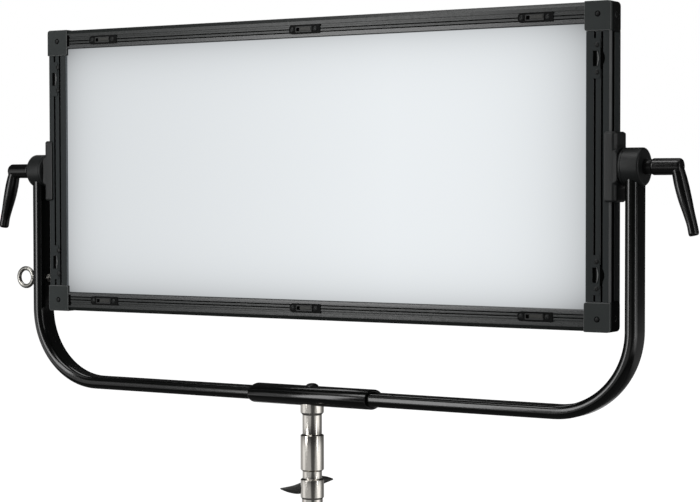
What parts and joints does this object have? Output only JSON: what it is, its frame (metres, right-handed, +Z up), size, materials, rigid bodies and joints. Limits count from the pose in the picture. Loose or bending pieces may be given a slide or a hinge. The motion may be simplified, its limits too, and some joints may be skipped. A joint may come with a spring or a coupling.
{
  "type": "led panel light",
  "caption": "Wide rectangular LED panel light with an opal front, tilting in a U-shaped tube yoke on a stand spigot, with clamp levers and a rear control panel.",
  "frame": {"origin": "centre of the spigot's lower end face, on the spigot's axis", "axes": "+X along the panel to the viewer's right, +Y from the lit front to the back, +Z up along the spigot"},
  "size_m": [0.9948, 0.144, 0.5938],
  "materials": {
    "frame": "satin black anodised",
    "cap": "fine texture",
    "catch": "satin black",
    "opal": "translucent opal",
    "reflector": "white",
    "led_board": "white solder mask",
    "heat_sink": "bare extrusion",
    "shell": "black powder coat",
    "control_plate": "satin black",
    "display": "dark window",
    "connector": "black",
    "connector_shell": "nickel",
    "supply": "bare case",
    "circuit": "green circuit board",
    "fan": "black",
    "knob": "black",
    "shaft": "turned",
    "key": "soft",
    "switch": "black",
    "bracket": "matte black casting",
    "stud": "zinc plated",
    "washer": "friction disc",
    "yoke": "gloss black enamel",
    "hub": "matte black",
    "spigot": "polished nickel",
    "bolt": "zinc plated",
    "eye": "stainless",
    "wing": "dark zinc casting",
    "lever_core": "blackened",
    "lever": "gloss black"
  },
  "bodies": {
    "yoke": {"yoke_tube_left": "yoke", "yoke_tube_right": "yoke", "yoke_sleeve": "yoke", "yoke_hub_left": "hub", "yoke_hub_right": "hub", "friction_washer_left": "washer", "friction_washer_right": "washer", "spigot": "spigot", "spigot_bolt": "bolt", "eye_bolt": "eye", "eye_nut": "eye"},
    "head": {"top_rail": "frame", "bottom_rail": "frame", "left_rail": "frame", "right_rail": "frame", "corner_cap_top_left": "cap", "corner_cap_top_right": "cap", "corner_cap_bottom_left": "cap", "corner_cap_bottom_right": "cap", "diffuser": "opal", "reflector_tray": "reflector", "led_board": "led_board", "heat_sink": "heat_sink", "fan_frame_left": "fan", "fan_frame_right": "fan", "rear_cover": "shell", "control_housing": "shell", "control_panel": "control_plate", "display_window": "display", "power_inlet": "connector", "dmx_input": "connector_shell", "dmx_output": "connector_shell", "power_supply": "supply", "control_board": "circuit", "pivot_bracket_left": "bracket", "pivot_bracket_right": "bracket", "pivot_stud_left": "stud", "pivot_stud_right": "stud", "accessory_catch_top_left": "catch", "accessory_catch_top_centre": "catch", "accessory_catch_top_right": "catch", "accessory_catch_bottom_left": "catch", "accessory_catch_bottom_centre": "catch", "accessory_catch_bottom_right": "catch", "side_catch_top_left": "catch", "side_catch_top_right": "catch", "side_catch_bottom_left": "catch", "side_catch_bottom_right": "catch"},
    "fan_left": {"fan_rotor_left": "fan"},
    "fan_right": {"fan_rotor_right": "fan"},
    "encoder_push": {"encoder_shaft": "shaft"},
    "encoder": {"encoder_knob": "knob"},
    "menu_key": {"menu_button": "key"},
    "back_key": {"back_button": "key"},
    "switch": {"power_switch": "switch"},
    "wing": {"wing_screw": "wing"},
    "clamp_left": {"lever_core_left": "lever_core"},
    "clamp_right": {"lever_core_right": "lever_core"},
    "handle_left": {"lever_handle_left": "lever"},
    "handle_right": {"lever_handle_right": "lever"}
  },
  "joints": [
    {"name": "tilt", "type": "hinge", "parent": "yoke", "child": "head", "pos_m": [0, 0, 0.41], "axis": [1, 0, 0], "range_deg": [-90, 90]},
    {"name": "fan_left_spin", "type": "hinge", "parent": "head", "child": "fan_left", "pos_m": [-0.29, 0.0507, 0.41], "axis": [0, 1, 0], "continuous": true},
    {"name": "fan_right_spin", "type": "hinge", "parent": "head", "child": "fan_right", "pos_m": [0.29, 0.0507, 0.41], "axis": [0, 1, 0], "continuous": true},
    {"name": "encoder_press", "type": "slide", "parent": "head", "child": "encoder_push", "axis": [0, -1, 0], "range_m": [0, 0.001], "stiffness_N_per_m": 1500, "springref_m": -0.001},
    {"name": "encoder_turn", "type": "hinge", "parent": "encoder_push", "child": "encoder", "pos_m": [-0.038, 0.107, 0.422], "axis": [0, 1, 0], "continuous": true},
    {"name": "menu_press", "type": "slide", "parent": "head", "child": "menu_key", "axis": [0, -1, 0], "range_m": [0, 0.001], "stiffness_N_per_m": 800, "springref_m": -0.001},
    {"name": "back_press", "type": "slide", "parent": "head", "child": "back_key", "axis": [0, -1, 0], "range_m": [0, 0.001], "stiffness_N_per_m": 800, "springref_m": -0.001},
    {"name": "power_rock", "type": "hinge", "parent": "head", "child": "switch", "pos_m": [-0.112, 0.104, 0.422], "axis": [1, 0, 0], "range_deg": [-7, 7]},
    {"name": "wing_turn", "type": "hinge", "parent": "yoke", "child": "wing", "pos_m": [0, 0, 0.0205], "axis": [-0.7001, 0.7141, 0], "range_deg": [-180, 180]},
    {"name": "clamp_left_turn", "type": "hinge", "parent": "yoke", "child": "clamp_left", "pos_m": [-0.44, 0, 0.41], "axis": [-1, 0, 0], "range_deg": [-180, 180]},
    {"name": "handle_left_lift", "type": "slide", "parent": "clamp_left", "child": "handle_left", "axis": [-1, 0, 0], "range_m": [0, 0.005], "stiffness_N_per_m": 1500, "springref_m": -0.003},
    {"name": "clamp_right_turn", "type": "hinge", "parent": "yoke", "child": "clamp_right", "pos_m": [0.44, 0, 0.41], "axis": [1, 0, 0], "range_deg": [-180, 180]},
    {"name": "handle_right_lift", "type": "slide", "parent": "clamp_right", "child": "handle_right", "axis": [1, 0, 0], "range_m": [0, 0.005], "stiffness_N_per_m": 1500, "springref_m": -0.003}
  ]
}
